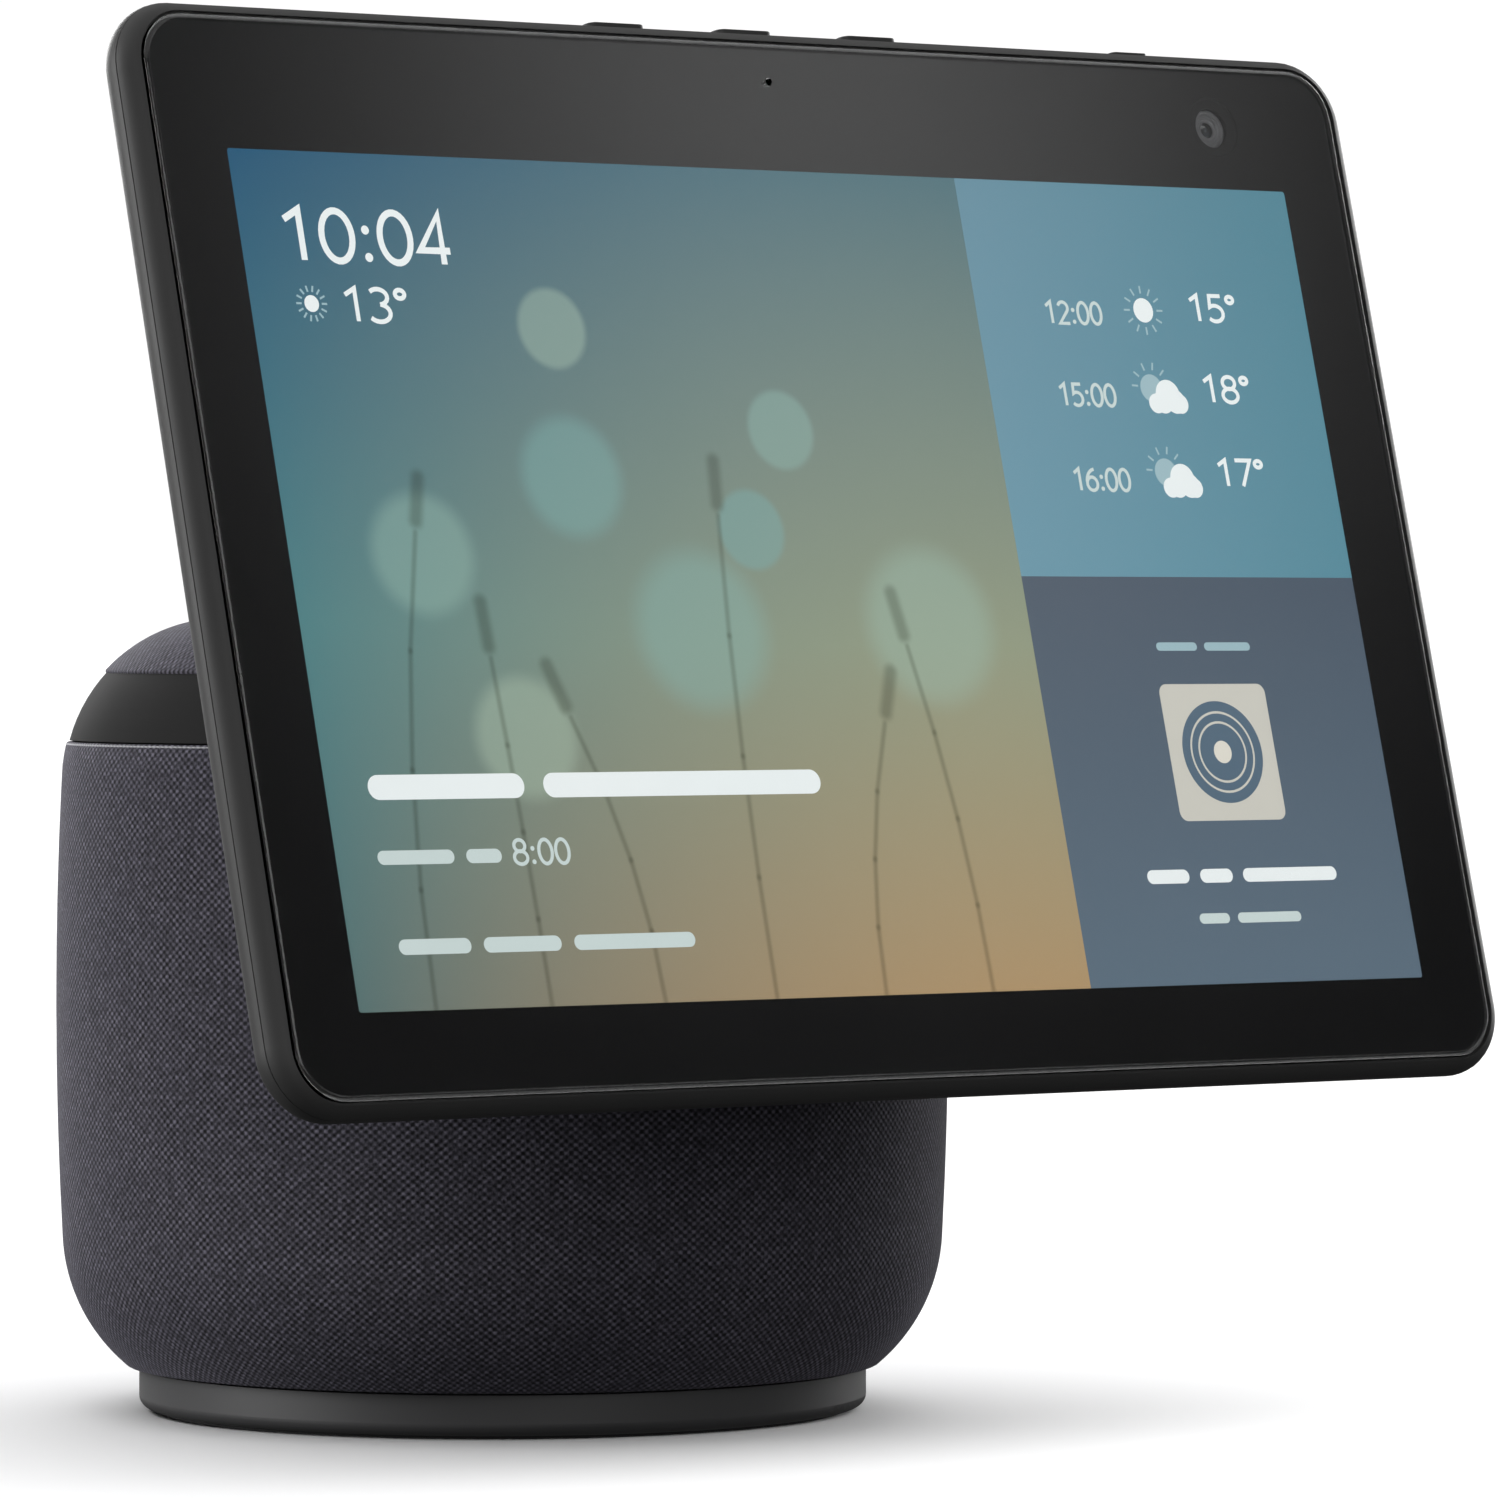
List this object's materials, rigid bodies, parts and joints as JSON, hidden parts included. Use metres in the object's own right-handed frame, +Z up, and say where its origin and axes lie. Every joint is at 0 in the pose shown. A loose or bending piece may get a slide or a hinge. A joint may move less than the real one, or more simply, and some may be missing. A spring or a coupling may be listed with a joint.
{
  "type": "smart display",
  "caption": "Smart display: tilting touch screen in a slim case on a hinge arm, carried by a round fabric speaker body that a motor turns on a low fixed foot.",
  "frame": {"origin": "centre of the foot's underside, on the axis that the body turns about", "axes": "+Z up along the turning axis, the screen faces -Y, +X is to the right as seen by someone facing the screen"},
  "size_m": [0.2504, 0.1872, 0.227],
  "materials": {
    "foot_rubber": "matt",
    "foot_plastic": "fine grain",
    "case_plastic": "fine grain",
    "collar_plastic": "satin",
    "inner_plastic": "matt",
    "gear_plastic": "smooth",
    "steel": "brushed",
    "bright_steel": "polished",
    "brass": "satin",
    "copper_cable": "smooth film",
    "jack_plastic": "smooth",
    "knit_fabric": "fine knit",
    "cone_paper": "pressed paper",
    "circuit_board": "solder mask",
    "chips": "moulded",
    "aluminium": "satin",
    "arm_metal": "powder coat",
    "clear_glass": "polished",
    "black_ink": "printed",
    "screen_picture": "lit picture",
    "diffuser": "white film",
    "lens": "coated glass"
  },
  "bodies": {
    "foot": {"foot_pad": "foot_rubber", "foot_shell": "foot_plastic", "base_plate": "steel", "foot_screws": "bright_steel", "stop_pin": "bright_steel", "ring_gear": "gear_plastic", "lower_race": "steel", "power_jack": "jack_plastic", "cable_cassette": "gear_plastic", "coiled_cable": "copper_cable"},
    "bearing": {"ball_cage": "brass", "bearing_balls": "bright_steel"},
    "pinion": {"drive_pinion": "brass"},
    "speaker": {"lower_chassis": "inner_plastic", "upper_race": "steel", "drive_motor": "steel", "grille_cage": "inner_plastic", "fabric_sleeve": "knit_fabric", "speaker_box": "inner_plastic", "box_screws": "bright_steel", "woofer_basket": "inner_plastic", "woofer_magnet": "steel", "voice_coil": "brass", "woofer_cone": "cone_paper", "woofer_surround": "cone_paper", "left_tweeter": "chips", "right_tweeter": "chips", "power_board": "circuit_board", "board_parts": "chips", "heat_sink": "aluminium", "board_screws": "bright_steel", "top_frame": "inner_plastic", "collar_band": "collar_plastic", "top_cap": "inner_plastic", "top_fabric": "knit_fabric", "display_arm": "arm_metal", "arm_screws": "bright_steel"},
    "display": {"hinge_bracket": "steel", "hinge_pin": "bright_steel", "spring_washers": "steel", "hinge_nut": "bright_steel", "hinge_covers": "case_plastic", "rear_cover": "case_plastic", "front_frame": "case_plastic", "cover_glass": "clear_glass", "black_border": "black_ink", "screen_panel": "screen_picture", "backlight": "diffuser", "mid_plate": "aluminium", "main_board": "circuit_board", "main_board_parts": "chips", "heat_spreader": "aluminium", "camera_module": "lens", "button_board": "circuit_board", "microphone_board": "circuit_board", "case_screws": "bright_steel"},
    "volume_up": {"volume_up_button": "case_plastic"},
    "volume_down": {"volume_down_button": "case_plastic"},
    "mute": {"mute_button": "case_plastic"},
    "shutter": {"camera_shutter": "case_plastic"}
  },
  "joints": [
    {"name": "turn", "type": "hinge", "parent": "foot", "child": "speaker", "pos_m": [0, 0, 0], "axis": [0, 0, 1], "range_deg": [-175, 175]},
    {"name": "bearing_roll", "type": "hinge", "parent": "foot", "child": "bearing", "pos_m": [0, 0, 0.0108], "axis": [0, 0, 1], "range_deg": [-90, 90]},
    {"name": "pinion_spin", "type": "hinge", "parent": "speaker", "child": "pinion", "pos_m": [0, 0.0378, 0.01], "axis": [0, 0, 1], "range_deg": [-1060, 1060]},
    {"name": "tilt", "type": "hinge", "parent": "speaker", "child": "display", "pos_m": [0, -0.0795, 0.1165], "axis": [-1, 0, 0], "range_deg": [-14.7, 25]},
    {"name": "press_volume_up", "type": "slide", "parent": "display", "child": "volume_up", "axis": [0, -0.2538, -0.9673], "range_m": [0, 0.0005], "stiffness_N_per_m": 800, "springref_m": -0.0005},
    {"name": "press_volume_down", "type": "slide", "parent": "display", "child": "volume_down", "axis": [0, -0.2538, -0.9673], "range_m": [0, 0.0005], "stiffness_N_per_m": 800, "springref_m": -0.0005},
    {"name": "press_mute", "type": "slide", "parent": "display", "child": "mute", "axis": [0, -0.2538, -0.9673], "range_m": [0, 0.0005], "stiffness_N_per_m": 800, "springref_m": -0.0005},
    {"name": "slide_shutter", "type": "slide", "parent": "display", "child": "shutter", "axis": [1, 0, 0], "range_m": [0, 0.008]}
  ],
  "couplings": [
    {"joint": "bearing_roll", "follows": "turn", "ratio": 0.5},
    {"joint": "pinion_spin", "follows": "turn", "ratio": 6}
  ]
}
